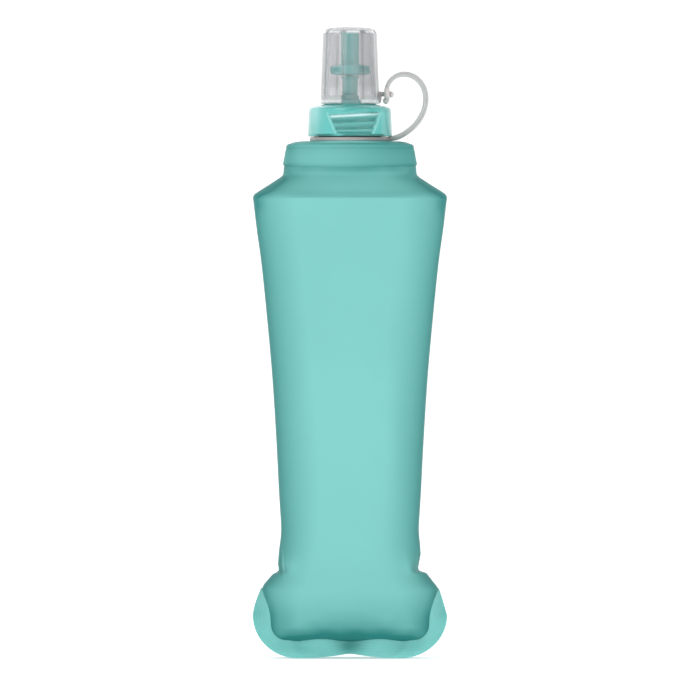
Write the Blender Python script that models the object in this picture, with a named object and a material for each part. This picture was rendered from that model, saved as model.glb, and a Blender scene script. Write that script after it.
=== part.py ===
"""Folding water bottle: a film pouch with a screw-necked spout, a push-pull bite nozzle and a clear cover.

Frame: the origin is on the standing plane under the middle of the base, +Z is up and -Y is the front.
The film is cut along one fold line, because each half of the folded pouch is a rigid body of its own.
"""

import math

import bmesh
import bpy

MM = 0.001
FULL_TURN = 2 * math.pi

# Film pouch, half widths along X and half depths along Y.
FILM = 0.6 * MM
SEAM_GAP = 0.45 * MM  # from the side seam's plane to the edge of each film panel
FOLD_Z = 88.0 * MM
FOLD_GAP = 0.3 * MM
CREASE_Z, CREASE_A, CREASE_B = 183.6 * MM, 38.8 * MM, 24.5 * MM
WAIST_Z, WAIST_A, WAIST_B = 50.0 * MM, 27.8 * MM, 23.0 * MM
TAPER_POWER = 1.5
BELLY_Z, BELLY_SWELL = 110.0 * MM, 1.2 * MM
PINCH_Z, PINCH_A = 35.6 * MM, 28.5 * MM
EAR_Z, EAR_A, EAR_B = 27.6 * MM, 35.3 * MM, 22.0 * MM
FOOT_A, FOOT_B = 33.6 * MM, 18.4 * MM
NECK_TUCK_Z, NECK_TUCK_TOP = 196.2 * MM, 202.6 * MM
NECK_TUCK_A, NECK_TUCK_B = 25.4 * MM, 17.6 * MM
NECK_FILM_Z, NECK_FILM_A, NECK_FILM_B = 193.2 * MM, 26.6 * MM, 18.9 * MM
SQUARENESS_TOP, SQUARENESS_FOOT = 2.4, 3.4

# Weld seam and flange round the base.
SEAM_Z, SEAM_X, SEAM_CORNER = 6.5 * MM, 32.2 * MM, 6.5 * MM
FLANGE_X, FLANGE_WIDE_Z, FLANGE_CORNER = 38.8 * MM, 16.4 * MM, 14.6 * MM
FLANGE_INSET, FLANGE_EDGE_Y = 0.97, 0.9 * MM
FLANGE_ROWS = (0.25, 0.6, 1.0)  # shares of the flange's width at which it has a row of points
NOTCH_X, NOTCH_RISE = 8.0 * MM, 1.8 * MM
SIDE_SHARE, CORNER_SHARE = 0.3, 0.25  # shares of a seam's points on its side and in its corner
GUSSET_SAG, GUSSET_LEAST_Y = 2.4 * MM, 3.0 * MM

# Spout and collar.
COLLAR_TOP, COLLAR_BOTTOM, COLLAR_WALL = 206.0 * MM, 196.4 * MM, 1.1 * MM
COLLAR_A_TOP, COLLAR_A_BOTTOM, COLLAR_TO_B = 25.3 * MM, 26.8 * MM, -7.8 * MM
SKIRT_A, SKIRT_B, SKIRT_WALL = 24.4 * MM, 16.6 * MM, 1.2 * MM
SPOUT_TOP, BORE_R, NECK_R, BEAD_R = 218.6 * MM, 10.85 * MM, 12.45 * MM, 13.85 * MM
PITCH = 3.18 * MM
THREAD_LOW, THREAD_TURNS, THREAD_HEIGHT = 211.2 * MM, 1.6, 1.15 * MM
THREAD_ROOT, THREAD_CREST = 0.8 * MM, 0.35 * MM

# Screw cap.
CAP_BOTTOM, CAP_TOP_EDGE = 208.4 * MM, 219.2 * MM
CAP_R_BOTTOM, CAP_R_TOP, CAP_INNER_R = 16.8 * MM, 16.4 * MM, 14.2 * MM
CAP_THREAD_LOW, CAP_THREAD_TURNS, CAP_THREAD_HEIGHT = 211.0 * MM, 1.5, 1.25 * MM
CAP_ROOF = 219.8 * MM
GRIPS = 2
GRIP_HALF_TOP, GRIP_HALF_BOTTOM = math.radians(42), math.radians(27)
GRIP_DEPTH, GRIP_TOP, RIB_PITCH = 0.8 * MM, 217.6 * MM, 2.6 * MM
SPIGOT_R, SPIGOT_BORE, SPIGOT_TOP, SPIGOT_BOTTOM = 4.0 * MM, 2.95 * MM, 225.0 * MM, 211.5 * MM

# Nozzle, drawn pulled up.
STEM_R, STEM_BORE, STEM_BOTTOM, STEM_TOP = 2.7 * MM, 1.6 * MM, 213.0 * MM, 243.0 * MM
STEM_NECK_R, STEM_SHOULDER_R, STEM_SHOULDER_Z = 2.2 * MM, 3.6 * MM, 231.6 * MM
RING_GROOVE_Z, O_RING_R, O_RING_MINOR = 218.3 * MM, 2.55 * MM, 0.3 * MM
BITE_FLANGE_R, BITE_FLANGE_Z, BITE_HEAD_Z = 8.0 * MM, 232.8 * MM, 237.2 * MM
BITE_HEAD_R, BITE_TOP = 4.1 * MM, 250.4 * MM

# Clear cover with its peg.
COVER_BOTTOM, COVER_TOP, COVER_WALL = 221.7 * MM, 252.4 * MM, 1.1 * MM
COVER_R_BOTTOM, COVER_R_TOP, FLUTES, FLUTE_DEPTH = 11.8 * MM, 10.6 * MM, 8, 0.3 * MM
PEG_Z, PEG_R, PEG_END, PEG_HEAD_R, PEG_HEAD = 225.6 * MM, 1.0 * MM, 16.4 * MM, 1.8 * MM, 1.0 * MM

# Tether.
TETHER_R_IN, TETHER_R_OUT, TETHER_LOW, TETHER_HIGH = 13.1 * MM, 15.2 * MM, 206.6 * MM, 208.1 * MM
STRAP_THICK, STRAP_WIDE = 1.5 * MM, 3.0 * MM
STRAP_PULLS = (
    (25.6 * MM, 207.3 * MM),
    (31.3 * MM, 214.7 * MM),
    (41.2 * MM, 235.1 * MM),
    (17.6 * MM, 239.9 * MM),
)  # control points of its curve in the XZ plane
EYELET_X, EYELET_HALF, EYELET_R_IN, EYELET_R_OUT = 14.7 * MM, 0.9 * MM, 1.35 * MM, 2.6 * MM

ROUND, SMALL_ROUND = 40, 24  # segments of the large and the small turned pieces
PANEL_COLUMNS = 10  # columns of a film panel on each side of its middle


def mix(a, b, share):
    return a + (b - a) * share


def smooth(share):
    share = min(max(share, 0.0), 1.0)
    return share * share * (3 - 2 * share)


def signed_power(value, power):
    return math.copysign(abs(value) ** power, value)


# Scene helpers.


def clear_scene():
    for obj in list(bpy.data.objects):
        bpy.data.objects.remove(obj)


def make_material(name, colour, roughness, alpha=1.0):
    made = bpy.data.materials.new(name)
    made.use_nodes = True
    shader = made.node_tree.nodes["Principled BSDF"]
    shader.inputs["Base Color"].default_value = (*colour, 1.0)
    shader.inputs["Roughness"].default_value = roughness
    shader.inputs["Metallic"].default_value = 0.0
    shader.inputs["Alpha"].default_value = alpha
    made.diffuse_color = (*colour, alpha)
    return made


def add_mesh(name, points, faces, material, parent):
    """One named object from points and faces, with its normals made to point outwards."""
    mesh = bpy.data.meshes.new(name)
    mesh.from_pydata(points, [], faces)
    work = bmesh.new()
    work.from_mesh(mesh)
    bmesh.ops.recalc_face_normals(work, faces=work.faces)
    work.to_mesh(mesh)
    work.free()
    mesh.shade_smooth()
    mesh.set_sharp_from_angle(angle=math.radians(35))
    mesh.materials.append(material)
    obj = bpy.data.objects.new(name, mesh)
    bpy.context.scene.collection.objects.link(obj)
    obj.parent = parent
    return obj


def turned(name, rings, segments, material, parent):
    """A solid from rings, each a function of the angle that gives a point, or a height on the axis.

    Without heights on the axis the rings are the outline of a tube's wall, joined up from last to first.
    """
    points, index = [], []
    for ring in rings:
        if callable(ring):
            index.append(list(range(len(points), len(points) + segments)))
            points += [ring(FULL_TURN * k / segments) for k in range(segments)]
        else:
            index.append([len(points)] * segments)
            points.append((0.0, 0.0, ring))
    pairs = list(zip(index, index[1:]))
    if callable(rings[0]) and callable(rings[-1]):
        pairs.append((index[-1], index[0]))
    faces = []
    for low, high in pairs:
        for k in range(segments):
            after = (k + 1) % segments
            corners = [low[k], low[after], high[after], high[k]]
            face = [c for n, c in enumerate(corners) if c not in corners[:n]]
            if len(face) > 2:
                faces.append(face)
    return add_mesh(name, points, faces, material, parent)


def circle(radius, z):
    return lambda angle: (radius * math.cos(angle), radius * math.sin(angle), z)


def oval(a, b, z, squareness=SQUARENESS_TOP):
    power = 2 / squareness
    return lambda angle: (a * signed_power(math.cos(angle), power), b * math.sin(angle), z)


def combine(obj, other, operation):
    """Takes the other shape out of obj or adds it to obj. The other shape stays as a hidden guide."""
    other.hide_render = True
    other.display_type = "WIRE"
    boolean = obj.modifiers.new(other.name, "BOOLEAN")
    boolean.operation = operation
    boolean.object = other


def box_cutter(name, centre, half, turn=0.0):
    signs = [(x, y, z) for x in (-1, 1) for y in (-1, 1) for z in (-1, 1)]
    points = [tuple(s * h for s, h in zip(sign, half)) for sign in signs]
    faces = [(0, 1, 3, 2), (4, 6, 7, 5), (0, 4, 5, 1), (2, 3, 7, 6), (0, 2, 6, 4), (1, 5, 7, 3)]
    made = add_mesh(name, points, faces, None, None)
    made.location = centre
    made.rotation_euler = (0, 0, turn)
    return made


def film_sheet(name, rows, material, parent):
    """A film panel from rows of points, thickened towards the inside of the pouch."""
    columns = len(rows[0])
    points = [p for row in rows for p in row]
    faces = [
        (r * columns + c, r * columns + c + 1, (r + 1) * columns + c + 1, (r + 1) * columns + c)
        for r in range(len(rows) - 1)
        for c in range(columns - 1)
    ]
    mesh = bpy.data.meshes.new(name)
    mesh.from_pydata(points, [], faces)
    mesh.shade_smooth()
    mesh.materials.append(material)
    obj = bpy.data.objects.new(name, mesh)
    bpy.context.scene.collection.objects.link(obj)
    obj.parent = parent
    thick = obj.modifiers.new("thickness", "SOLIDIFY")
    thick.thickness = FILM
    thick.offset = -1
    return obj


# Threads.


def thread_height(angle, z, low, turns, height):
    """How far a thread that starts at height low stands out at this angle and height."""
    climb = low + PITCH * (angle / FULL_TURN)
    turn = round((z - climb) / PITCH)
    along = turn + angle / FULL_TURN
    off = abs(z - climb - turn * PITCH)
    fade = min(along, turns - along) * 6
    flank = (THREAD_ROOT - off) / (THREAD_ROOT - THREAD_CREST)
    return height * min(max(fade, 0.0), 1.0) * min(max(flank, 0.0), 1.0)


def threaded_rings(radius, sign, low, turns, height, bottom, top, steps):
    """Rings up a wall from bottom to top with a thread on it; sign +1 stands outwards and -1 inwards."""

    def ring(z):
        def at(angle):
            r = radius + sign * thread_height(angle, z, low, turns, height)
            return (r * math.cos(angle), r * math.sin(angle), z)

        return at

    return [ring(mix(bottom, top, k / steps)) for k in range(steps + 1)]


# Pouch shape.


def pouch_section(z):
    """(half width, half depth, squareness) of the filled pouch at height z."""
    if z >= NECK_TUCK_Z:
        return NECK_TUCK_A, NECK_TUCK_B, SQUARENESS_TOP
    if z >= NECK_FILM_Z:
        return NECK_FILM_A, NECK_FILM_B, SQUARENESS_TOP
    if z >= CREASE_Z:
        share = (z - CREASE_Z) / (NECK_FILM_Z - CREASE_Z)
        return mix(CREASE_A, NECK_FILM_A, share), mix(CREASE_B, NECK_FILM_B, share), SQUARENESS_TOP
    belly = BELLY_SWELL * math.exp(-(((z - BELLY_Z) / (45 * MM)) ** 2))
    if z >= WAIST_Z:
        share = (z - WAIST_Z) / (CREASE_Z - WAIST_Z)
        a = mix(WAIST_A, CREASE_A, share**TAPER_POWER)
        return a, mix(WAIST_B, CREASE_B, share) + belly, SQUARENESS_TOP
    if z >= PINCH_Z:
        share = (z - PINCH_Z) / (WAIST_Z - PINCH_Z)
        return mix(PINCH_A, WAIST_A, share), mix(EAR_B, WAIST_B, share) + belly, SQUARENESS_TOP
    if z >= EAR_Z:
        share = (PINCH_Z - z) / (PINCH_Z - EAR_Z)
        return mix(PINCH_A, EAR_A, share), EAR_B + belly, SQUARENESS_TOP
    share = (EAR_Z - z) / (EAR_Z - SEAM_Z)
    b = EAR_B - (EAR_B - FOOT_B) * (1 - math.sqrt(1 - share**3.0))
    return mix(EAR_A, FOOT_A, share), b, mix(SQUARENESS_TOP, SQUARENESS_FOOT, share)


def pouch_y(x, z):
    """Depth of the film in front of the middle plane, as a positive length."""
    a, b, squareness = pouch_section(z)
    share = min(abs(x) / a, 1.0)
    return max(b * math.sqrt(1 - share**squareness), SEAM_GAP)


def base_outline(share, top, side_x, wide_z, corner, bottom):
    """A point (x, z) on half of a U round the base, from its upper end (share 0) to the middle (1)."""
    corner_x = side_x - corner
    if share < SIDE_SHARE:
        part = share / SIDE_SHARE
        bow = math.sin(part * math.pi / 2)
        return mix(top[0], side_x, bow), mix(top[1], wide_z, part)
    if share < SIDE_SHARE + CORNER_SHARE:
        turn = (share - SIDE_SHARE) / CORNER_SHARE * math.pi / 2
        return corner_x + corner * math.cos(turn), wide_z - (wide_z - bottom) * math.sin(turn)
    part = (share - SIDE_SHARE - CORNER_SHARE) / (1 - SIDE_SHARE - CORNER_SHARE)
    return mix(corner_x, 0.0, part), bottom


def seam_point(share):
    """A point (x, z) of the weld seam, where the filled pouch ends and the flange starts."""
    return base_outline(share, (EAR_A, EAR_Z), SEAM_X, SEAM_Z + SEAM_CORNER, SEAM_CORNER, SEAM_Z)


def flange_point(share):
    """A point (x, z) of the flange's outer edge, with the shallow notch in the middle of its foot."""
    top = (EAR_A + 0.6 * MM, EAR_Z + 0.6 * MM)
    x, z = base_outline(share, top, FLANGE_X, FLANGE_WIDE_Z, FLANGE_CORNER, 0.0)
    if x < NOTCH_X:
        z += NOTCH_RISE * (1 + math.cos(math.pi * x / NOTCH_X)) / 2
    return x, z


def flange_y(x):
    """The flange stands upright: its depth depends only on x, and both films come together at the sides."""
    return max(FLANGE_INSET * pouch_y(x, SEAM_Z), FLANGE_EDGE_Y)


def column_shares():
    """Signed shares from the left edge of a panel, -1, to its right edge, 1."""
    return [c / PANEL_COLUMNS for c in range(-PANEL_COLUMNS, PANEL_COLUMNS + 1)]


def panel_x(column, z):
    """Where a column of points stands across the panel: close together near the sides, which curve most."""
    a = pouch_section(z)[0]
    return a * signed_power(math.sin(abs(column) * math.pi / 2), 0.94) * (1 if column >= 0 else -1)


def upper_rows(side):
    """Rows from the fold line up over the shoulder to the film's end inside the collar."""
    heights = [mix(FOLD_Z + FOLD_GAP / 2, CREASE_Z, k / 7) for k in range(8)]
    heights += [mix(CREASE_Z, NECK_FILM_Z, k / 2) for k in (1, 2)]
    heights += [NECK_TUCK_Z - 0.6 * MM, NECK_TUCK_Z, NECK_TUCK_TOP]
    rows = []
    for z in heights:
        across = [panel_x(column, z) for column in column_shares()]
        rows.append([(x, side * pouch_y(x, z), z) for x in across])
    return rows


def lower_rows(side):
    """Rows from the fold line down to the seam, then over the flange to its edge."""
    steps = 11
    rows = []
    for step in range(steps + 1):
        share = step / steps
        row = []
        for column in column_shares():
            seam_x, seam_z = seam_point(1 - abs(column))
            z = mix(FOLD_Z - FOLD_GAP / 2, seam_z, share)
            half_width = pouch_section(z)[0]
            upright, on_seam = panel_x(abs(column), z) / half_width, seam_x / pouch_section(seam_z)[0]
            x = mix(upright, on_seam, share**3) * half_width
            row.append((math.copysign(x, column), side * pouch_y(x, z), z))
        rows.append(row)
    for share in FLANGE_ROWS:
        row = []
        for column in column_shares():
            inner, outer = seam_point(1 - abs(column)), flange_point(1 - abs(column))
            x, z = mix(inner[0], outer[0], share), mix(inner[1], outer[1], share)
            row.append((math.copysign(x, column), side * flange_y(x), z))
        rows.append(row)
    return rows


def facing_out(rows, side):
    """Rows ordered so that the sheet faces away from the pouch; side is -1 in front and 1 at the back."""
    return rows[::-1] if side * (rows[-1][0][2] - rows[0][0][2]) > 0 else rows


def make_panels(material, parent):
    for side, prefix in ((-1, "front"), (1, "back")):
        film_sheet(f"{prefix}_panel_upper", facing_out(upper_rows(side), side), material, parent)
        film_sheet(f"{prefix}_panel_lower", facing_out(lower_rows(side), side), material, parent)


def make_gusset(material, parent):
    """The boat-shaped film that closes the base between the two seams."""
    inset = FILM + 0.35 * MM
    rows = []
    for column in column_shares()[1:-1]:
        share = 1 - abs(column)
        x, z = seam_point(share)
        y = pouch_y(x, z)
        if y < GUSSET_LEAST_Y:
            continue
        before, after = seam_point(max(share - 0.02, 0)), seam_point(min(share + 0.02, 1))
        along = (after[0] - before[0], after[1] - before[1])
        length = math.hypot(*along)
        out_x, out_z = (-along[1] / length, along[0] / length)
        row = []
        for k in range(-4, 5):
            across = k / 4
            sag = GUSSET_SAG * (1 - across * across) * max(-out_z, 0.0) ** 2 - inset
            row.append((math.copysign(x + out_x * sag, column), (y - inset) * across, z + out_z * sag))
        rows.append(row)
    film_sheet("base_gusset", rows, material, parent)


# Neck.


def make_spout(material, parent):
    inner_a, inner_b = SKIRT_A - SKIRT_WALL, SKIRT_B - SKIRT_WALL
    rings = [
        circle(BORE_R, SPOUT_TOP),
        circle(BORE_R, 203.4 * MM),
        oval(inner_a - 4 * MM, inner_b - 2 * MM, 202.6 * MM),
        oval(inner_a, inner_b, 201.4 * MM),
        oval(inner_a, inner_b, 196.9 * MM),
        oval(SKIRT_A, SKIRT_B, 196.9 * MM),
        oval(SKIRT_A, SKIRT_B, 204.3 * MM),
        circle(NECK_R + 0.4 * MM, 204.5 * MM),
        circle(NECK_R, 204.9 * MM),
        circle(NECK_R, 208.3 * MM),
        circle(BEAD_R, 208.6 * MM),
        circle(BEAD_R, 209.3 * MM),
        circle(NECK_R, 209.7 * MM),
    ]
    rings += threaded_rings(
        NECK_R, 1, THREAD_LOW, THREAD_TURNS, THREAD_HEIGHT, THREAD_LOW - THREAD_ROOT, 217.3 * MM, 13
    )
    rings += [circle(NECK_R, SPOUT_TOP - 0.4 * MM), circle(NECK_R - 0.4 * MM, SPOUT_TOP)]
    turned("spout_insert", rings, ROUND, material, parent)


def make_collar(material, parent):
    def outer(a, z):
        return oval(a, a + COLLAR_TO_B, z)

    rings = [
        outer(COLLAR_A_BOTTOM - COLLAR_WALL, COLLAR_BOTTOM),
        outer(COLLAR_A_BOTTOM, COLLAR_BOTTOM),
        outer(mix(COLLAR_A_BOTTOM, COLLAR_A_TOP, 0.5), mix(COLLAR_BOTTOM, COLLAR_TOP, 0.5)),
        outer(COLLAR_A_TOP + 0.5 * MM, COLLAR_TOP - 1.0 * MM),
        outer(COLLAR_A_TOP - 0.2 * MM, COLLAR_TOP - 0.25 * MM),
        outer(COLLAR_A_TOP - 1.4 * MM, COLLAR_TOP),
        circle(13.4 * MM, COLLAR_TOP),
        circle(13.4 * MM, COLLAR_TOP - COLLAR_WALL),
        outer(COLLAR_A_TOP - 1.6 * MM, COLLAR_TOP - COLLAR_WALL),
        outer(COLLAR_A_BOTTOM - COLLAR_WALL, COLLAR_TOP - 2.4 * MM),
    ]
    turned("neck_collar", rings, ROUND, material, parent)


# Cap, seal and valve core.


def grip_inset(angle, z):
    """How far the cap's side lies behind its round outline: ribbed trapezoid grips on two sides."""
    if not CAP_BOTTOM + 1 * MM < z < GRIP_TOP:
        return 0.0
    share = (z - CAP_BOTTOM) / (GRIP_TOP - CAP_BOTTOM)
    half = mix(GRIP_HALF_BOTTOM, GRIP_HALF_TOP, share)
    step = FULL_TURN / GRIPS
    off = abs((angle + step / 2 + math.pi / 2) % step - step / 2)
    if off > half:
        return 0.0
    rib = 0.5 + 0.5 * math.cos(FULL_TURN * (GRIP_TOP - z) / RIB_PITCH + math.pi)
    return GRIP_DEPTH * (0.45 + 0.55 * rib)


def make_cap(material, parent):
    def side(z):
        radius = mix(CAP_R_BOTTOM, CAP_R_TOP, (z - CAP_BOTTOM) / (CAP_TOP_EDGE - CAP_BOTTOM))

        def at(angle):
            r = radius - grip_inset(angle, z)
            return (r * math.cos(angle), r * math.sin(angle), z)

        return at

    grip_low, grip_high, grip_rows = CAP_BOTTOM + 1.2 * MM, GRIP_TOP - 0.1 * MM, 8
    rings = [circle(CAP_INNER_R, CAP_BOTTOM), side(CAP_BOTTOM), side(CAP_BOTTOM + 0.9 * MM)]
    rings += [side(mix(grip_low, grip_high, k / grip_rows)) for k in range(grip_rows + 1)]
    rings += [side(GRIP_TOP + 0.2 * MM), side(CAP_TOP_EDGE)]
    rings += [
        circle(15.9 * MM, 220.0 * MM),
        circle(12.2 * MM, 221.2 * MM),
        circle(10.3 * MM, 221.3 * MM),
        circle(10.1 * MM, 222.6 * MM),
        circle(5.2 * MM, 222.8 * MM),
        circle(SPIGOT_R, 223.2 * MM),
        circle(SPIGOT_R, SPIGOT_TOP - 0.3 * MM),
        circle(SPIGOT_R - 0.4 * MM, SPIGOT_TOP),
        circle(SPIGOT_BORE, SPIGOT_TOP),
        circle(SPIGOT_BORE, SPIGOT_BOTTOM),
        circle(SPIGOT_R + 0.3 * MM, SPIGOT_BOTTOM),
        circle(SPIGOT_R + 0.3 * MM, CAP_ROOF + 0.2 * MM),
        circle(CAP_INNER_R, CAP_ROOF),
    ]
    rings += threaded_rings(
        CAP_INNER_R,
        -1,
        CAP_THREAD_LOW + PITCH / 2,
        CAP_THREAD_TURNS,
        CAP_THREAD_HEIGHT,
        CAP_THREAD_LOW + PITCH / 2 - THREAD_ROOT,
        218.2 * MM,
        13,
    )[::-1]
    turned("screw_cap", rings, ROUND, material, parent)


def make_seal(material, parent):
    low, high = SPOUT_TOP + 0.1 * MM, CAP_ROOF - 0.1 * MM
    rings = [circle(9.8 * MM, low), circle(13.8 * MM, low), circle(13.8 * MM, high), circle(9.8 * MM, high)]
    turned("cap_seal", rings, ROUND, material, parent)


def make_valve_core(material, parent):
    """The cup under the spigot: its pin plugs the stem when the nozzle is pushed down."""
    wall, bore, pin, floor = SPIGOT_R + 0.3 * MM, 3.1 * MM, 1.3 * MM, 205.5 * MM
    rings = [
        floor - 1.2 * MM,
        circle(wall - 0.4 * MM, floor - 1.2 * MM),
        circle(wall, floor - 0.8 * MM),
        circle(wall, SPIGOT_BOTTOM - 0.3 * MM),
        circle(bore, SPIGOT_BOTTOM - 0.3 * MM),
        circle(bore, floor),
        circle(pin, floor),
        circle(pin, 211.2 * MM),
        circle(pin - 0.4 * MM, 211.6 * MM),
        211.6 * MM,
    ]
    core = turned("valve_core", rings, SMALL_ROUND, material, parent)
    for k, reach in enumerate((-1, 1)):
        half = (1.6 * MM, 0.9 * MM, 1.7 * MM)
        along_x = box_cutter(f"port_x_{k}", (reach * 3.9 * MM, 0, 207.6 * MM), half)
        along_y = box_cutter(f"port_y_{k}", (0, reach * 3.9 * MM, 207.6 * MM), half, math.pi / 2)
        combine(core, along_x, "DIFFERENCE")
        combine(core, along_y, "DIFFERENCE")


# Nozzle.


def make_stem(material, parent):
    rings = [
        circle(STEM_BORE, STEM_BOTTOM),
        circle(STEM_R - 0.3 * MM, STEM_BOTTOM),
        circle(STEM_R, STEM_BOTTOM + 0.3 * MM),
        circle(STEM_R, RING_GROOVE_Z),
        circle(STEM_NECK_R, RING_GROOVE_Z),
        circle(STEM_NECK_R, RING_GROOVE_Z + 1.4 * MM),
        circle(STEM_R, RING_GROOVE_Z + 1.4 * MM),
        circle(STEM_R, STEM_SHOULDER_Z),
        circle(STEM_SHOULDER_R, STEM_SHOULDER_Z + 0.3 * MM),
        circle(STEM_SHOULDER_R, STEM_SHOULDER_Z + 0.9 * MM),
        circle(STEM_NECK_R, STEM_SHOULDER_Z + 0.9 * MM),
        circle(STEM_NECK_R, STEM_TOP),
        circle(STEM_BORE, STEM_TOP),
    ]
    turned("nozzle_stem", rings, SMALL_ROUND, material, parent)


def make_o_ring(material, parent):
    centre_z, sides = RING_GROOVE_Z + 0.7 * MM, 8
    rings = []
    for k in range(sides):
        turn = FULL_TURN * k / sides
        radius, rise = O_RING_R + O_RING_MINOR * math.cos(turn), O_RING_MINOR * math.sin(turn)
        rings.append(circle(radius, centre_z + rise))
    turned("nozzle_o_ring", rings, SMALL_ROUND, material, parent)


def make_bite_valve(material, parent):
    """The soft mouthpiece: a round lip flange, a head to bite on and a slit through its crown."""
    bore, narrow = STEM_NECK_R + 0.15 * MM, 1.6 * MM
    rings = [
        circle(bore, BITE_FLANGE_Z),
        circle(5.6 * MM, BITE_FLANGE_Z),
        circle(BITE_FLANGE_R - 0.5 * MM, BITE_FLANGE_Z - 0.1 * MM),
        circle(BITE_FLANGE_R, BITE_FLANGE_Z + 1.2 * MM),
        circle(BITE_FLANGE_R - 0.5 * MM, BITE_HEAD_Z - 1.4 * MM),
        circle(5.4 * MM, BITE_HEAD_Z - 0.2 * MM),
        circle(BITE_HEAD_R, BITE_HEAD_Z + 0.6 * MM),
        circle(BITE_HEAD_R, BITE_TOP - 0.9 * MM),
        circle(BITE_HEAD_R - 0.8 * MM, BITE_TOP),
        BITE_TOP + 0.05 * MM,
        BITE_TOP - 1.4 * MM,
        circle(narrow, BITE_TOP - 1.5 * MM),
        circle(narrow, STEM_TOP + 0.5 * MM),
        circle(bore, STEM_TOP + 0.4 * MM),
    ]
    valve = turned("bite_valve", rings, SMALL_ROUND, material, parent)
    slit = box_cutter("slit", (0, 0, BITE_TOP - 0.5 * MM), (2.2 * MM, 0.15 * MM, 1.6 * MM))
    combine(valve, slit, "DIFFERENCE")


# Cover and tether.


def make_cover(material, parent):
    """The clear cover: eight shallow flutes, a closed top and the peg for the tether's eyelet."""

    def outer(radius, z):
        def at(angle):
            r = radius - FLUTE_DEPTH * (1 - abs(math.cos(FLUTES * angle / 2)))
            return (r * math.cos(angle), r * math.sin(angle), z)

        return at

    low_in, high_in = COVER_R_BOTTOM - COVER_WALL, COVER_R_TOP - COVER_WALL
    rings = [
        COVER_TOP - COVER_WALL,
        circle(high_in - 0.8 * MM, COVER_TOP - COVER_WALL),
        circle(high_in, COVER_TOP - COVER_WALL - 0.8 * MM),
        circle(low_in, COVER_BOTTOM),
        outer(COVER_R_BOTTOM, COVER_BOTTOM),
        outer(mix(COVER_R_BOTTOM, COVER_R_TOP, 0.5), mix(COVER_BOTTOM, COVER_TOP, 0.5)),
        outer(COVER_R_TOP, COVER_TOP - 1.2 * MM),
        circle(COVER_R_TOP - 0.9 * MM, COVER_TOP - 0.1 * MM),
        COVER_TOP,
    ]
    cover = turned("dust_cover", rings, ROUND, material, parent)

    def rod(name, radius, start, end):
        def ring(x):
            return lambda angle: (x, radius * math.cos(angle), PEG_Z + radius * math.sin(angle))

        sides = 14
        ends = [ring(start), ring(end)]
        points = [end_ring(FULL_TURN * k / sides) for end_ring in ends for k in range(sides)]
        faces = [(k, (k + 1) % sides, sides + (k + 1) % sides, sides + k) for k in range(sides)]
        faces += [tuple(range(sides)), tuple(range(2 * sides - 1, sides - 1, -1))]
        return add_mesh(name, points, faces, material, None)

    combine(cover, rod("peg", PEG_R, COVER_R_BOTTOM - 0.7 * MM, PEG_END), "UNION")
    combine(cover, rod("peg_head", PEG_HEAD_R, PEG_END - 0.2 * MM, PEG_END + PEG_HEAD), "UNION")


def strap_path(share):
    """The strap's middle line in the XZ plane, from the neck ring (share 0) over to the eyelet (1)."""
    start = (TETHER_R_OUT + 0.35 * MM, (TETHER_LOW + TETHER_HIGH) / 2)
    end = (EYELET_X, PEG_Z + EYELET_R_OUT - 0.3 * MM)
    control = [start, *STRAP_PULLS, end]
    while len(control) > 1:
        control = [tuple(mix(p, q, share) for p, q in zip(a, b)) for a, b in zip(control, control[1:])]
    return control[0]


def make_tether(material, parent):
    rings = [
        circle(TETHER_R_IN, TETHER_LOW),
        circle(TETHER_R_OUT, TETHER_LOW),
        circle(TETHER_R_OUT, TETHER_HIGH),
        circle(TETHER_R_IN, TETHER_HIGH),
    ]
    turned("tether_ring", rings, ROUND, material, parent)

    steps = 22
    points, faces = [], []
    for step in range(steps + 1):
        share = step / steps
        x, z = strap_path(share)
        ahead, behind = strap_path(min(share + 0.01, 1)), strap_path(max(share - 0.01, 0))
        along = (ahead[0] - behind[0], ahead[1] - behind[1])
        length = math.hypot(*along)
        out = (-along[1] / length * STRAP_THICK / 2, along[0] / length * STRAP_THICK / 2)
        half_wide = STRAP_WIDE / 2 * mix(1.0, 0.55, smooth((share - 0.8) / 0.2))
        for side, across in ((1, 1), (1, -1), (-1, -1), (-1, 1)):
            points.append((x + side * out[0], across * half_wide, z + side * out[1]))
    for step in range(steps):
        base = step * 4
        faces += [(base + k, base + (k + 1) % 4, base + 4 + (k + 1) % 4, base + 4 + k) for k in range(4)]
    faces += [(3, 2, 1, 0), tuple(steps * 4 + k for k in range(4))]
    strap = add_mesh("tether_strap", points, faces, material, parent)

    sides = 16
    eyelet_points, eyelet_faces = [], []
    for radius, x in (
        (EYELET_R_IN, -EYELET_HALF),
        (EYELET_R_OUT, -EYELET_HALF),
        (EYELET_R_OUT, EYELET_HALF),
        (EYELET_R_IN, EYELET_HALF),
    ):
        for k in range(sides):
            turn = FULL_TURN * k / sides
            eyelet_points.append((EYELET_X + x, radius * math.cos(turn), PEG_Z + radius * math.sin(turn)))
    for ring in range(4):
        near, far = ring * sides, (ring + 1) % 4 * sides
        for k in range(sides):
            after = (k + 1) % sides
            eyelet_faces.append((near + k, near + after, far + after, far + k))
    eyelet = add_mesh("eyelet", eyelet_points, eyelet_faces, material, None)
    combine(strap, eyelet, "UNION")


def make_empty(name):
    made = bpy.data.objects.new(name, None)
    bpy.context.scene.collection.objects.link(made)
    return made


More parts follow.
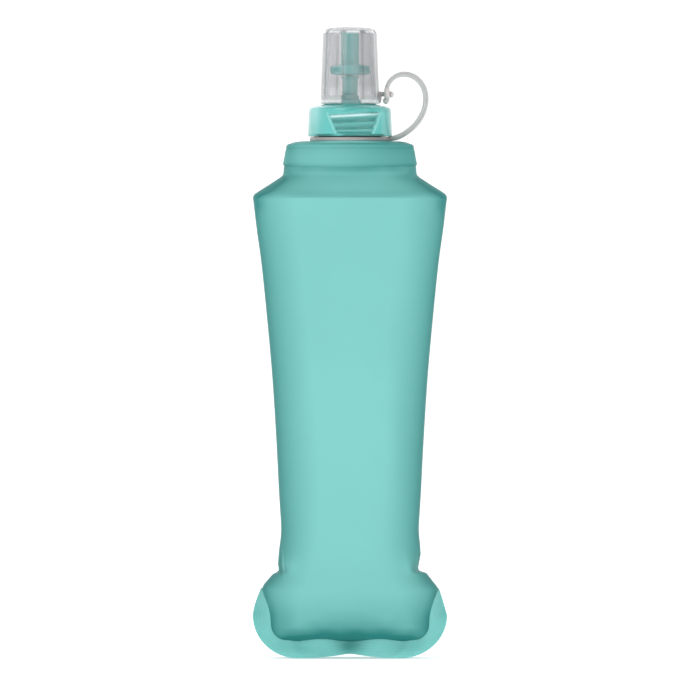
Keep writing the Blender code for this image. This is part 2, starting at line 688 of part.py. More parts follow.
def build():
    clear_scene()
    film = make_material("film", (0.135, 0.47, 0.42), 0.5)
    cap_plastic = make_material("cap_plastic", (0.10, 0.46, 0.40), 0.25)
    spout_plastic = make_material("spout_plastic", (0.12, 0.42, 0.38), 0.4)
    silicone = make_material("silicone", (0.16, 0.50, 0.45), 0.45)
    clear = make_material("clear_plastic", (0.93, 0.93, 0.95), 0.08, 0.3)
    frosted = make_material("frosted_silicone", (0.72, 0.73, 0.75), 0.4)
    seal = make_material("seal_rubber", (0.85, 0.86, 0.86), 0.5)

    neck = make_empty("neck_frame")
    make_panels(film, neck)
    make_gusset(film, neck)
    make_spout(spout_plastic, neck)
    make_collar(film, neck)
    make_cap(cap_plastic, neck)
    make_seal(seal, neck)
    make_valve_core(spout_plastic, neck)
    make_stem(cap_plastic, neck)
    make_o_ring(seal, neck)
    make_bite_valve(silicone, neck)
    make_cover(clear, neck)
    make_tether(frosted, neck)


build()
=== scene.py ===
import math

import bmesh
import bpy
import numpy as np
from mathutils import Matrix, Vector


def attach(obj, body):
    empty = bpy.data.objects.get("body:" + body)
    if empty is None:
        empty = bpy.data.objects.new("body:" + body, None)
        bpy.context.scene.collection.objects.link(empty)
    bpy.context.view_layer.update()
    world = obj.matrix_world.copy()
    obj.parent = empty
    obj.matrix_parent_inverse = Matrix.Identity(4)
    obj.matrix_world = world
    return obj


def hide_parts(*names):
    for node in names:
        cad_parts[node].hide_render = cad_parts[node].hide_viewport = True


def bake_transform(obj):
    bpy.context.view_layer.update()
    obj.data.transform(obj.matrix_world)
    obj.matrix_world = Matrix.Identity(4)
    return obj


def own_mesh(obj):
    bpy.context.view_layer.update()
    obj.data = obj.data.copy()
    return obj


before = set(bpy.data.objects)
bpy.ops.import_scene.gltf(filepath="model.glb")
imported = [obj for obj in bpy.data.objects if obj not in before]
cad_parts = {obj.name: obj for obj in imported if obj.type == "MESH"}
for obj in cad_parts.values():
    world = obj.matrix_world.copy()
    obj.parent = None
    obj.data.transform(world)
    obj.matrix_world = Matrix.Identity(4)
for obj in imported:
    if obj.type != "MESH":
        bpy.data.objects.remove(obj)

MM = 0.001
TURN = 2 * math.pi
QUARTER = math.pi / 2
OVAL_POWER = 2.4
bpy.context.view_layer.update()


# ---------------------------------------------------------------- helpers


def mix(a, b, s):
    return a + (b - a) * s


def clamp01(s):
    return min(max(s, 0.0), 1.0)


def smooth(s):
    """From 0 to 1 as s does, level at both ends."""
    s = clamp01(s)
    return s * s * (3 - 2 * s)


def bump_at(x, centre, width):
    """1 at the centre, fading to 0 on both sides of it."""
    return math.exp(-(((x - centre) / width) ** 2))


def spow(v, p):
    """A power that keeps its sign."""
    return math.copysign(abs(v) ** p, v)


def through(z, knots):
    """Smooth monotone curve through (z, value) knots, z rising."""
    n = len(knots)
    if z <= knots[0][0]:
        return knots[0][1]
    if z >= knots[-1][0]:
        return knots[-1][1]
    slopes = [(high[1] - low[1]) / (high[0] - low[0]) for low, high in zip(knots, knots[1:])]
    tangents = [slopes[0]]
    for a, b in zip(slopes, slopes[1:]):
        tangents.append(0.0 if a * b <= 0 else 2 * a * b / (a + b))
    tangents.append(slopes[-1])
    i = next(k for k in range(n - 1) if z <= knots[k + 1][0])
    h = knots[i + 1][0] - knots[i][0]
    t = (z - knots[i][0]) / h
    return (
        (2 * t**3 - 3 * t**2 + 1) * knots[i][1]
        + (t**3 - 2 * t**2 + t) * h * tangents[i]
        + (-2 * t**3 + 3 * t**2) * knots[i + 1][1]
        + (t**3 - t**2) * h * tangents[i + 1]
    )


def mesh_object(name, points, faces, material, uvs=None, sharp=40.0):
    """points are in mm. uvs is one (u, v) for each point. Edges above sharp degrees stay sharp."""
    mesh = bpy.data.meshes.new(name)
    mesh.from_pydata([(x * MM, y * MM, z * MM) for x, y, z in points], [], faces)
    if uvs is not None:
        layer = mesh.uv_layers.new(name="UVMap")
        for loop in mesh.loops:
            layer.data[loop.index].uv = uvs[loop.vertex_index]
    work = bmesh.new()
    work.from_mesh(mesh)
    bmesh.ops.remove_doubles(work, verts=work.verts, dist=0.01 * MM)
    bmesh.ops.recalc_face_normals(work, faces=work.faces)
    work.to_mesh(mesh)
    work.free()
    mesh.shade_smooth()
    if sharp:
        mesh.set_sharp_from_angle(angle=math.radians(sharp))
    mesh.materials.append(material)
    obj = bpy.data.objects.new(name, mesh)
    bpy.context.scene.collection.objects.link(obj)
    return obj


def paint(obj, shade, name="painted_shade"):
    """Stores how much painted shade or painted highlight a surface gets at each point, from a function of its
    x, y and z in mm.
    """
    layer = obj.data.attributes.new(name, "FLOAT", "POINT")
    values = [shade(v.co.x / MM, v.co.y / MM, v.co.z / MM) for v in obj.data.vertices]
    layer.data.foreach_set("value", np.array(values, np.float32))


def dress(piece, body, slot, *replaced):
    """Puts a piece on its body in place of CAD pieces. Its slot is not used."""
    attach(piece, body)
    if replaced:
        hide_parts(*replaced)


def grid_faces(rows, columns, start=0, wrap=False, flip=False):
    faces = []
    for r in range(rows - 1):
        for c in range(columns if wrap else columns - 1):
            d = (c + 1) % columns
            a, b = start + r * columns, start + (r + 1) * columns
            quad = (a + c, a + d, b + d, b + c)
            faces.append(quad[::-1] if flip else quad)
    return faces


def tube_faces(rows, around):
    """Faces of a tube of rings with both of its ends closed."""
    count = rows * around
    return grid_faces(rows, around, wrap=True) + [tuple(range(around)), tuple(range(count - around, count))]


def lathe(name, rings, material, segments=96, sharp=40.0):
    """rings: functions of an angle giving (x, y, z), or numbers for points on the axis. All in mm."""
    points, index = [], []
    for ring in rings:
        if callable(ring):
            index.append(range(len(points), len(points) + segments))
            points += [ring(TURN * k / segments) for k in range(segments)]
        else:
            index.append([len(points)] * segments)
            points.append((0.0, 0.0, ring))
    pairs = list(zip(index, index[1:]))
    if callable(rings[0]) and callable(rings[-1]):
        pairs.append((index[-1], index[0]))
    faces = []
    for low, high in pairs:
        for k in range(segments):
            d = (k + 1) % segments
            corners = [low[k], low[d], high[d], high[k]]
            face = [c for n, c in enumerate(corners) if c not in corners[:n]]
            if len(face) > 2:
                faces.append(face)
    return mesh_object(name, points, faces, material, sharp=sharp)


def circle(radius, z):
    return lambda a: (radius * math.cos(a), radius * math.sin(a), z)


def circles(*places):
    return [circle(radius, z) for radius, z in places]


def oval(a, b, z):
    return lambda t: (a * spow(math.cos(t), 2 / OVAL_POWER), b * math.sin(t), z)


# ---------------------------------------------------------------- materials

FILM_FACE = (0.235, 0.625, 0.590)
FILM_EDGE_AND_SHADE = (0.034, 0.238, 0.224)


def set_inputs(made, values):
    """Sets a node's inputs, named with underscores for spaces."""
    for key, value in values.items():
        made.inputs[key.replace("_", " ")].default_value = value


def nodes_of(name, **values):
    """A new material with its node tree and its shader, which gets these values."""
    made = bpy.data.materials.new(name)
    made.use_nodes = True
    shader = made.node_tree.nodes["Principled BSDF"]
    set_inputs(shader, values)
    return made, made.node_tree, shader


def node(tree, kind, **values):
    made = tree.nodes.new(kind)
    set_inputs(made, values)
    return made


def painted(tree, name):
    """A node whose Fac is what paint() stored under this name."""
    made = tree.nodes.new("ShaderNodeAttribute")
    made.attribute_name = name
    return made


def arithmetic(tree, operation, clamp=False):
    made = tree.nodes.new("ShaderNodeMath")
    made.operation = operation
    made.use_clamp = clamp
    return made


def ranged(tree, low, high, to_low=0.0, to_high=1.0):
    return node(tree, "ShaderNodeMapRange", From_Min=low, From_Max=high, To_Min=to_low, To_Max=to_high)


def colour_mix(tree, **colours):
    """A mix of the colours A and B."""
    made = tree.nodes.new("ShaderNodeMix")
    made.data_type = "RGBA"
    for key, colour in colours.items():
        made.inputs[key].default_value = (*colour, 1)
    return made


def link(tree, *wires):
    """Each wire is a node, its output, another node and that one's input."""
    for source, output, target, entry in wires:
        tree.links.new(source.outputs[output], target.inputs[entry])


def mottled(tree, shader, colour, other, scale):
    """Base colour that drifts between two shades with a noise."""
    coords = tree.nodes.new("ShaderNodeTexCoord")
    noise = node(tree, "ShaderNodeTexNoise", Scale=scale, Detail=3.0, Roughness=0.55)
    drift = ranged(tree, 0.35, 0.65)
    blend = colour_mix(tree, A=colour, B=other)
    link(
        tree,
        (coords, "Object", noise, "Vector"),
        (noise, "Fac", drift, "Value"),
        (drift, "Result", blend, "Factor"),
        (blend, "Result", shader, "Base Color"),
    )
    return blend, coords


def fine_bump(tree, shader, coords, scale, strength):
    noise = node(tree, "ShaderNodeTexNoise", Scale=scale, Detail=4.0, Roughness=0.6)
    bump = node(tree, "ShaderNodeBump", Strength=strength, Distance=0.0004)
    link(
        tree,
        (coords, "Object", noise, "Vector"),
        (noise, "Fac", bump, "Height"),
        (bump, "Normal", shader, "Normal"),
    )
    return bump


def film_material(name, weld=False, pale_and_highlight=1.0):
    """Translucent film: pale face on, deeper towards its outline, where more film is looked through, and
    deeper where shade is painted on it, some of that painted shade only where the film is seen edge on.
    """
    made, tree, shader = nodes_of(
        name,
        Roughness=0.42,
        Specular_IOR_Level=0.03,
        Subsurface_Weight=0.15,
        Subsurface_Radius=(0.002, 0.004, 0.004),
        Subsurface_Scale=1.0,
    )
    face = [c * pale_and_highlight for c in FILM_FACE]
    drifted = [c * 0.94 for c in face]
    blend, coords = mottled(tree, shader, face, drifted, 14.0)
    facing = node(tree, "ShaderNodeLayerWeight", Blend=0.5)
    outline = ranged(tree, 0.06, 0.77, 0.0, 0.22 if weld else 0.97)
    glancing = ranged(tree, 0.48, 0.78)
    # Painted shade: the shade painted for edge-on views, times how edge on the film is, plus the rest of the
    # painted shade.
    shaded = arithmetic(tree, "MULTIPLY_ADD")
    total = arithmetic(tree, "ADD", clamp=True)
    painted_shade = colour_mix(tree, B=FILM_EDGE_AND_SHADE)
    link(
        tree,
        (facing, "Facing", outline, "Value"),
        (facing, "Facing", glancing, "Value"),
        (painted(tree, "rim_shade"), "Fac", shaded, 0),
        (glancing, "Result", shaded, 1),
        (painted(tree, "painted_shade"), "Fac", shaded, 2),
        (outline, "Result", total, 0),
        (shaded, 0, total, 1),
        (total, 0, painted_shade, "Factor"),
        (blend, "Result", painted_shade, "A"),
        (painted_shade, "Result", shader, "Base Color"),
    )
    bump = fine_bump(tree, shader, coords, 900.0, 0.08)
    if weld:
        wave = node(tree, "ShaderNodeTexWave", Scale=1.1, Distortion=0.6, Detail=2.0)
        wave.bands_direction = "Y"
        faint = arithmetic(tree, "MULTIPLY_ADD")
        faint.inputs[1].default_value = 0.09
        ribs = node(tree, "ShaderNodeBump", Strength=0.35, Distance=0.0003)
        link(
            tree,
            (coords, "UV", wave, "Vector"),
            (wave, "Fac", faint, 0),
            (shaded, 0, faint, 2),
            (faint, 0, total, 1),
            (wave, "Fac", ribs, "Height"),
            (bump, "Normal", ribs, "Normal"),
            (ribs, "Normal", shader, "Normal"),
        )
    return made


def plastic_material(name, colour, other, roughness, subsurface=0.2, coat=0.0, painted_shade=None):
    """Moulded plastic or silicone. With a colour for painted shade, painted shade turns towards that colour
    and painted highlights towards a paler one.
    """
    made, tree, shader = nodes_of(
        name,
        Roughness=roughness,
        Subsurface_Weight=subsurface,
        Subsurface_Radius=(0.003, 0.006, 0.006),
        Subsurface_Scale=1.0,
        Coat_Weight=coat,
        Coat_Roughness=0.08,
    )
    blend, coords = mottled(tree, shader, colour, other, 60.0)
    if painted_shade:
        darker = colour_mix(tree, B=painted_shade)
        lighter = colour_mix(tree, B=[min(c * 1.6 + 0.5, 1.0) for c in colour])
        link(
            tree,
            (painted(tree, "painted_shade"), "Fac", darker, "Factor"),
            (blend, "Result", darker, "A"),
            (painted(tree, "pale_and_highlight"), "Fac", lighter, "Factor"),
            (darker, "Result", lighter, "A"),
            (lighter, "Result", shader, "Base Color"),
        )
    fine_bump(tree, shader, coords, 1200.0, 0.04)
    return made


def clear_material(name):
    """Clear moulded plastic: see-through, greyer where it is seen edge on and where shade is painted, with
    faint streaks up it, and whiter and less clear where glints are painted.
    """
    made, tree, shader = nodes_of(name, Roughness=0.12, Specular_IOR_Level=0.6)
    see = tree.nodes.new("ShaderNodeBsdfTransparent")
    coords = tree.nodes.new("ShaderNodeTexCoord")
    stretch = node(tree, "ShaderNodeMapping", Scale=(1, 1, 0.01))
    streak = node(tree, "ShaderNodeTexNoise", Scale=260.0, Detail=1.0, Roughness=0.4)
    facing = node(tree, "ShaderNodeLayerWeight", Blend=0.35)
    body = ranged(tree, 0.3, 0.75, 0.05, 0.17)
    edge = ranged(tree, 0.25, 0.95, 0.0, 0.62)
    glint = painted(tree, "pale_and_highlight")
    stronger = arithmetic(tree, "MAXIMUM")
    total = arithmetic(tree, "ADD", clamp=True)
    fuller = arithmetic(tree, "ADD", clamp=True)
    tint = colour_mix(tree, A=(0.90, 0.90, 0.905), B=(0.50, 0.50, 0.51))
    whiter = colour_mix(tree, A=(0.82, 0.82, 0.83), B=(1, 1, 1))
    surface = tree.nodes.new("ShaderNodeMixShader")
    link(
        tree,
        (coords, "Object", stretch, "Vector"),
        (stretch, "Vector", streak, "Vector"),
        (streak, "Fac", body, "Value"),
        (facing, "Facing", edge, "Value"),
        (edge, "Result", stronger, 0),
        (painted(tree, "painted_shade"), "Fac", stronger, 1),
        (stronger, 0, tint, "Factor"),
        (tint, "Result", see, "Color"),
        (glint, "Fac", whiter, "Factor"),
        (whiter, "Result", shader, "Base Color"),
        (body, "Result", total, 0),
        (edge, "Result", total, 1),
        (total, 0, fuller, 0),
        (glint, "Fac", fuller, 1),
        (fuller, 0, surface, "Fac"),
        (see, 0, surface, 1),
        (shader, 0, surface, 2),
        (surface, 0, tree.nodes["Material Output"], "Surface"),
    )
    return made


FILM = film_material("film_look")
WELD = film_material("weld_look", weld=True, pale_and_highlight=1.15)
BAND = film_material("band_look", weld=True)
CAP = plastic_material(
    "cap_look",
    (0.136, 0.595, 0.558),
    (0.122, 0.545, 0.508),
    0.24,
    coat=0.5,
    subsurface=0.3,
    painted_shade=(0.03, 0.22, 0.20),
)
SPOUT = plastic_material("spout_look", (0.085, 0.380, 0.345), (0.075, 0.340, 0.310), 0.38)
BITE = plastic_material(
    "bite_look", (0.115, 0.605, 0.565), (0.100, 0.550, 0.515), 0.26, subsurface=0.4, painted_shade=(0.02, 0.16, 0.15)
)
FROST = plastic_material(
    "frost_look", (0.64, 0.625, 0.61), (0.58, 0.565, 0.555), 0.36, subsurface=0.25, painted_shade=(0.20, 0.19, 0.20)
)
SEAL = plastic_material("seal_look", (0.72, 0.73, 0.73), (0.66, 0.67, 0.67), 0.5)
CLEAR = clear_material("clear_look")


# ---------------------------------------------------------------- pouch

FOLD_Z = 88.0
FOLD_DEPTH = 24.8
FLAT_KEEP = 0.06
FILM_TRAVEL = 20.0
SEAM_Z = 7.2
SEAM_X = 31.6
SEAM_CORNER = 6.0
WELD_X = 35.3
WELD_Z = 27.5
SHOULDER_Z = 183.6
NECK_Z = 193.6
COLUMNS = 56
HALF_WIDTH = (
    (WELD_Z, WELD_X), (29.5, 34.3), (31.5, 33.0), (34.0, 31.4), (37.0, 30.0), (40.0, 29.15), (43.0, 28.5),
    (47.5, 27.8), (51.0, 27.55), (58.0, 27.9), (66.0, 28.4), (82.0, 29.2), (111.0, 31.0), (140.0, 33.6),
    (159.0, 35.6), (172.0, 37.4), (180.5, 38.4), (SHOULDER_Z, 38.8),
)
PINCH_LEFT = (
    (29.5, 0.0), (31.0, 0.3), (33.4, 0.9), (34.3, 2.1), (34.8, 2.3), (35.8, 1.9), (37.4, 1.0), (39.5, 0.6),
    (43.0, 0.1), (46.0, 0.0),
)
PINCH_RIGHT = (
    (28.5, 0.0), (30.0, 0.4), (32.6, 0.7), (33.8, 0.9), (34.4, 2.4), (35.0, 3.3), (35.8, 3.1), (37.4, 2.3),
    (39.5, 1.3), (42.0, 0.4), (46.0, 0.0),
)
HALF_DEPTH = (
    (6.2, 12.6), (6.8, 14.0), (7.8, 16.2), (9.5, 18.8), (12.5, 21.5), (16.5, 23.2), (22.0, 23.8),
    (34.0, 23.2), (50.0, 23.6), (70.0, 24.3), (FOLD_Z, FOLD_DEPTH), (105.0, 25.0), (140.0, 24.6),
    (170.0, 24.2), (SHOULDER_Z, 24.0),
)
SHOULDER_WIDTH = (
    (SHOULDER_Z, 38.8), (184.6, 38.7), (185.3, 38.25), (186.2, 37.0), (189.4, 31.9), (191.0, 29.5),
    (192.0, 27.9), (192.7, 27.1), (NECK_Z, 26.65),
)
SHOULDER_DEPTH = (
    (SHOULDER_Z, 24.0), (184.6, 23.4), (185.3, 22.9), (186.2, 22.3), (189.4, 20.8), (191.0, 20.0),
    (192.0, 19.5), (192.7, 19.1), (NECK_Z, 18.8),
)
TUCK = ((NECK_Z, 26.65, 18.8), (196.8, 26.4, 18.5), (197.6, 25.0, 17.2), (203.0, 24.9, 17.1))


def pouch_section(z):
    """Half width, half depth and the oval's power at this height."""
    if z > NECK_Z:
        for low, high in zip(TUCK, TUCK[1:]):
            if z <= high[0]:
                s = (z - low[0]) / (high[0] - low[0])
                return mix(low[1], high[1], s), mix(low[2], high[2], s), OVAL_POWER
        return TUCK[-1][1], TUCK[-1][2], OVAL_POWER
    if z > SHOULDER_Z:
        return through(z, SHOULDER_WIDTH), through(z, SHOULDER_DEPTH), OVAL_POWER
    power = mix(OVAL_POWER, 3.2, smooth((50 - z) / 42))
    if z < WELD_Z:
        return mix(WELD_X, 33.4, smooth((WELD_Z - z) / 18)), through(z, HALF_DEPTH), power
    return through(z, HALF_WIDTH), through(z, HALF_DEPTH), power


def pouch_y(x, z):
    """Half the section's depth at this x."""
    a, b, n = pouch_section(z)
    s = min(abs(x) / a, 1.0)
    return b * math.sqrt(max(1 - s**n, 0.0))


def column_x(column, z):
    return pouch_section(z)[0] * spow(math.sin(column * QUARTER), 0.94)


def past_crease(x, z):
    """Place across the crease beside a pinch, in mm. The crease leans outwards as it rises."""
    return abs(x) - 0.08 * (z - 36)


def puckers(x, y, z):
    """Small moves of the film in or out: a crease by the pinch, waves over the seam and up the pouch."""
    side = smooth((abs(x) - 17) / 13)
    crease = bump_at(past_crease(x, z), 26.1, 0.8) * bump_at(z, 38.0, 4.0)
    out = 0.35 * crease * (1.0 if x < 0 else 0.2)
    out += 0.25 * math.sin(x * 0.52 + 0.6) * bump_at(z, 13.0, 5.5)
    phase = 1.3 if y > 0 else 0.0
    out += 0.18 * math.sin(x * 0.21 + z * 0.045 + phase) * smooth((z - 50) / 20) * (1 - side)
    out += -0.5 * bump_at(z, 186.4, 2.4) * bump_at(pouch_section(z)[0] - abs(x), 3.5, 2.5)
    return out


def film_point(x, z, side):
    """The film's point at this x and z on the front (side -1) or back (side 1), pinched over the welds."""
    y = pouch_y(x, z)
    fade = smooth(y / 6.0) * smooth((193.0 - z) / 4.0) * smooth((z - 8.5) / 4.0)
    y += puckers(x, side, z) * fade
    if PINCH_RIGHT[0][0] < z < PINCH_RIGHT[-1][0]:
        outer = smooth((abs(x) / pouch_section(z)[0] - 0.76) / 0.24)
        x -= math.copysign(outer * max(through(z, PINCH_LEFT if x < 0 else PINCH_RIGHT), 0.0), x)
    return x, side * y, z


def upper_half():
    """Film from the fold line up into the collar, as one closed loop on each height."""
    below, rows = 180.6, 34
    heights = [FOLD_Z + k * (below - FOLD_Z) / rows for k in range(rows + 1)]
    heights += [181.8, 182.7, 183.25, SHOULDER_Z, 183.95, 184.6, 185.5]
    heights += [186.7, 188.0, 189.4, 190.8, 192.0, 192.9]
    heights += [193.4, 193.8, 194.6, 195.7, 196.5, 197.0, 197.6, 203.0]
    columns = range(-COLUMNS, COLUMNS)
    loop = [(c / COLUMNS, -1) for c in columns] + [(-c / COLUMNS, 1) for c in columns]
    points = [film_point(column_x(column, z), z, side) for z in heights for column, side in loop]
    faces = grid_faces(len(heights), len(loop), wrap=True)
    return mesh_object("bladder_upper", points, faces, FILM, sharp=38.0)


def u_curve(share, top, side_x, wide_z, corner, bottom, bow=1.0):
    """(x, z) on half of a U, from its top (share 0) down the side, round the corner and in to the middle."""
    side_share, corner_share = 0.30, 0.25
    corner_x = side_x - corner
    if share < side_share:
        part = share / side_share
        return mix(top[0], side_x, mix(part, math.sin(part * QUARTER), bow)), mix(top[1], wide_z, part)
    if share < side_share + corner_share:
        turn = (share - side_share) / corner_share * QUARTER
        return corner_x + corner * math.cos(turn), wide_z - (wide_z - bottom) * math.sin(turn)
    part = (share - side_share - corner_share) / (1 - side_share - corner_share)
    return mix(corner_x, 0.0, part), bottom


def seam_wave(x):
    """Gentle waves along the level part of the seam."""
    return 0.5 * math.cos(TURN * (x - 11.5) / 23.0) * smooth((26 - x) / 6)


def seam_point(share):
    """(x, z) on the seam between the film and the welded edge, from its top (0) to the middle (1)."""
    top, wide_z = (WELD_X, WELD_Z), SEAM_Z + 6.5
    x, z = u_curve(share, top, side_x=SEAM_X, wide_z=wide_z, corner=SEAM_CORNER, bottom=SEAM_Z)
    return x, z + (seam_wave(x) if share > 0.5 else 0.0)


def flange_point(share, right):
    """The flange's outer edge: rounder on the left, with a corner half way up on the right."""
    top = (35.5, 28.0)
    corner, bow = (18.6, 0.15) if right else (17.8, 0.75)
    x, z = u_curve(share, top, side_x=38.85, wide_z=16.9, corner=corner, bottom=0.0, bow=bow)
    notch = clamp01(1 - (math.hypot(x, 1.5) - 1.5) / 19.0)
    return x, z + 1.75 * notch**2


def lower_half():
    """Film from the fold line down to the seam on both sides, closed underneath by the gusset."""
    level = 29.5
    heights = [FOLD_Z + (39.0 - FOLD_Z) * k / 20 for k in range(20)] + [39.0 - 0.5 * k for k in range(6)]
    heights += [36.0 - 0.25 * k for k in range(14)] + [32.5 - 0.5 * k for k in range(6)]
    below = [0.75 * k / 16 for k in range(16)] + [0.75 + 0.25 * k / 16 for k in range(17)]
    stations = [(z, 0.0) for z in heights] + [(level, sunk) for sunk in below]
    columns = range(-COLUMNS, COLUMNS + 1)
    points, faces = [], []
    for side in (-1, 1):
        start = len(points)
        for height, sunk in stations:
            for c in columns:
                seam_x, seam_z = seam_point(1 - abs(c) / COLUMNS)
                z = mix(height, seam_z, sunk)
                s = (FOLD_Z - z) / (FOLD_Z - seam_z)
                top_x = column_x(abs(c) / COLUMNS, z)
                a = pouch_section(z)[0]
                x = mix(top_x / a, min(seam_x / pouch_section(seam_z)[0], 1.0), s**3) * a
                points.append(film_point(math.copysign(x, c), z, side))
        faces += grid_faces(len(stations), len(columns), start, flip=side > 0)
    return mesh_object("bladder_lower", *with_gusset(points, faces, columns), FILM, sharp=None)


def with_gusset(points, faces, columns):
    """Adds the gusset, which sags a little where the seam runs level."""
    across = 12
    start = len(points)
    for c in columns:
        share = 1 - abs(c) / COLUMNS
        x, z = seam_point(share)
        y = abs(film_point(x, z, 1)[1])
        before, after = seam_point(max(share - 0.02, 0)), seam_point(min(share + 0.02, 1))
        dx, dz = after[0] - before[0], after[1] - before[1]
        level = max(dx / -math.hypot(dx, dz), 0)
        for k in range(across + 1):
            t = 2 * k / across - 1
            points.append((math.copysign(x, c), y * t, z - 2.2 * (1 - t * t) * level**2))
    return points, faces + grid_faces(len(columns), across + 1, start)


def flange(side):
    """The welded edge round the base, two films thick, with its foot on the table and a middle notch."""
    across, count = 10, 72
    thick, gap, foot_y = 1.1, 0.6, 16.9
    sheets, uvs = [], []
    for layer in (0, 1):
        for c in range(-count, count + 1):
            share = 1 - abs(c) / count
            inner, outer = seam_point(share), flange_point(share, c > 0)
            y_in = pouch_y(*inner)
            y_out = mix(gap, foot_y, smooth((share - 0.20) / 0.42)) - 0.8 * bump_at(outer[0], 0, 4.5)
            for k in range(across + 1):
                s = k / across
                x, z = mix(inner[0], outer[0], s), mix(inner[1], outer[1], s)
                y = max(mix(y_in, y_out, smooth(s * 1.1)), gap)
                y -= layer * min(thick, y - 0.02)
                sheets.append((math.copysign(x, c), side * y, z))
                uvs.append((share * 6, s * 3))
    columns, rows = across + 1, 2 * count + 1
    half = columns * rows
    faces = grid_faces(rows, columns) + grid_faces(rows, columns, half, flip=True)
    for r in range(rows - 1):
        a, b = r * columns + across, (r + 1) * columns + across
        faces.append((a, b, b + half, a + half))
        a, b = r * columns, (r + 1) * columns
        faces.append((b, a, a + half, b + half))
    for r in (0, rows - 1):
        for k in range(across):
            a = r * columns + k
            faces.append((a, a + 1, a + 1 + half, a + half))
    name = "flange_front" if side < 0 else "flange_back"
    return mesh_object(name, sheets, faces, WELD, uvs=uvs, sharp=50.0)


BEND_HALF = 0.3


def fold_bend():
    """The short stretch of film at the fold line, a thin flattened tube. It lies inside the filled pouch at
    rest.
    """
    half_thick = FLAT_KEEP * FOLD_DEPTH
    rows = [7.0, 4.0, 1.5] + [BEND_HALF - 2 * BEND_HALF * k / 18 for k in range(19)] + [-1.5, -4.0, -7.0]
    around = 40
    a = pouch_section(FOLD_Z)[0] - 0.6
    points = []
    for s in rows:
        tuck = 1 - 0.12 * smooth((abs(s) - 0.5) / 1.0)
        for k in range(around):
            t = TURN * k / around
            points.append(
                (a * spow(math.cos(t), 2 / OVAL_POWER), half_thick * tuck * math.sin(t), FOLD_Z + s)
            )
    return mesh_object("fold_bend", points, tube_faces(len(rows), around), FILM, sharp=60.0)


UNDER_LIP = (
    (186.0, 0.0), (191.5, 0.06), (193.0, 0.12), (194.0, 0.26), (195.0, 0.41), (195.7, 0.44), (197.0, 0.26),
)


def leftwards(x):
    return smooth((8.0 - x) / 16.0)


def above_shoulder(z):
    return smooth((z - 183.3) / 0.7)


def shade_upper(x, y, z):
    # Painted shade: deeper above the shoulder, just below its ends and under the collar's lip, and paler a
    # little way in from the edges above the shoulder.
    edge = pouch_section(z)[0] - abs(x)
    paler = 0.12 * bump_at(edge, 11.0, 6.0) * above_shoulder(z)
    below = 0.22 * bump_at(z, 181.5, 4.0) * smooth((abs(x) - 32.0) / 5.0)
    under_lip = mix(1.25, 1.0, leftwards(x)) * through(z, UNDER_LIP) * smooth((24.0 - abs(x)) / 8.0)
    return above_shoulder(z) * 0.12 + below + under_lip - paler


def rim_shade_upper(x, y, z):
    """Painted shade for where the film is seen edge on: more at the shoulder's corners and less at the neck.
    """
    edge = pouch_section(z)[0] - abs(x)
    corner = smooth(1 - edge / mix(9.0, 6.0, clamp01((z - 184.0) / 8.0))) * smooth((193.0 - z) / 3.0)
    return mix(0.55, 1.7, leftwards(x)) * corner * above_shoulder(z) - 0.34 * smooth((z - 189.0) / 4.0)


def seam_height(x):
    """Height of the bottom seam at this place across the base."""
    round_corner = clamp01((abs(x) - SEAM_X + SEAM_CORNER) / SEAM_CORNER)
    turned_up = SEAM_CORNER * (1 - math.sqrt(1 - round_corner**2))
    return SEAM_Z + turned_up + seam_wave(abs(x))


def shade_lower(x, y, z):
    # Painted shade: deeper low down, above the bottom seam, inside the side seams, on the ears and along the
    # crease by each pinch, with painted highlights above the ears and beside the crease.
    outwards = smooth(abs(x) / 27.0)
    inside = smooth((33.5 - abs(x)) / 3.0)
    wide = 0.24 * smooth((28.0 - z) / 13.0)
    foot = mix(0.50, 0.37, outwards) * clamp01(1 - (z - seam_height(x) - 0.1) / mix(13.0, 5.0, outwards))
    foot *= mix(0.94, 0.36, smooth((abs(x) - 23.5) / 5.5))
    side_gap = mix(SEAM_X, WELD_X, clamp01((z - 12.0) / 15.5)) - abs(x)
    above_foot = mix(0.1, 1.0, smooth((z - 10.0) / 8.0))
    side = 0.19 * smooth(1 - side_gap / 5.0) * smooth((29.5 - z) / 4.0) * above_foot
    ear = 0.06 * bump_at(z, 30.0, 3.2) * smooth((abs(x) - 27.5) / 4.0)
    ear -= 0.20 * bump_at(z, 36.5, 3.5) * bump_at(abs(x), 24.0, 3.5)
    crease = bump_at(z, 37.5, 4.5) * (1.0 if x < 0 else 0.25)
    light = -0.45 * bump_at(past_crease(x, z), 26.5, 0.35) * crease
    dark = 0.12 * bump_at(abs(x), 27.6, 0.6) * crease
    return min((wide + foot) * inside + side + ear + light + dark, 1.0)


def shade_flange(x, y, z):
    """Painted shade, deepest round the notch in the middle of the foot."""
    notch = 0.60 * bump_at(x, 0.0, 4.6) * bump_at(z, 4.6, 3.8)
    beside = 0.10 * bump_at(x, -10.0, 6.0) * smooth((5.5 - z) / 3.0)
    return notch + beside + mix(0.04, 0.09, smooth((abs(x) - 25.0) / 5.0)) * (0.2 if x > 0 else 1.0)


def flatten_share(y, z):
    """How far a point of the upper film follows the front film's travel, to end in a section that is flat."""
    low, high = 94.0, 192.0
    rise = clamp01((z - low) / (high - low))
    flat = mix(FLAT_KEEP * FOLD_DEPTH, SHOULDER_DEPTH[-1][1], rise**1.25)
    keep = min(flat / pouch_section(z)[1], 1.0)
    return -y * (1 - keep) / FILM_TRAVEL


upper = upper_half()
lower = lower_half()
flanges = [flange(-1), flange(1)]
bend = fold_bend()
paint(upper, shade_upper)
paint(upper, rim_shade_upper, "rim_shade")
paint(lower, shade_lower)
for piece in flanges:
    paint(piece, shade_flange)

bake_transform(upper)
[flatten_share(v.co.y / MM, v.co.z / MM) for v in upper.data.vertices]
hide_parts("front_panel_upper", "back_panel_upper")

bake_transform(bend)

for piece in [lower, *flanges]:
    dress(piece, "flask_lower", "film")
    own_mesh(piece)
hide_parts("front_panel_lower", "back_panel_lower", "base_gusset")


# ---------------------------------------------------------------- collar and spout


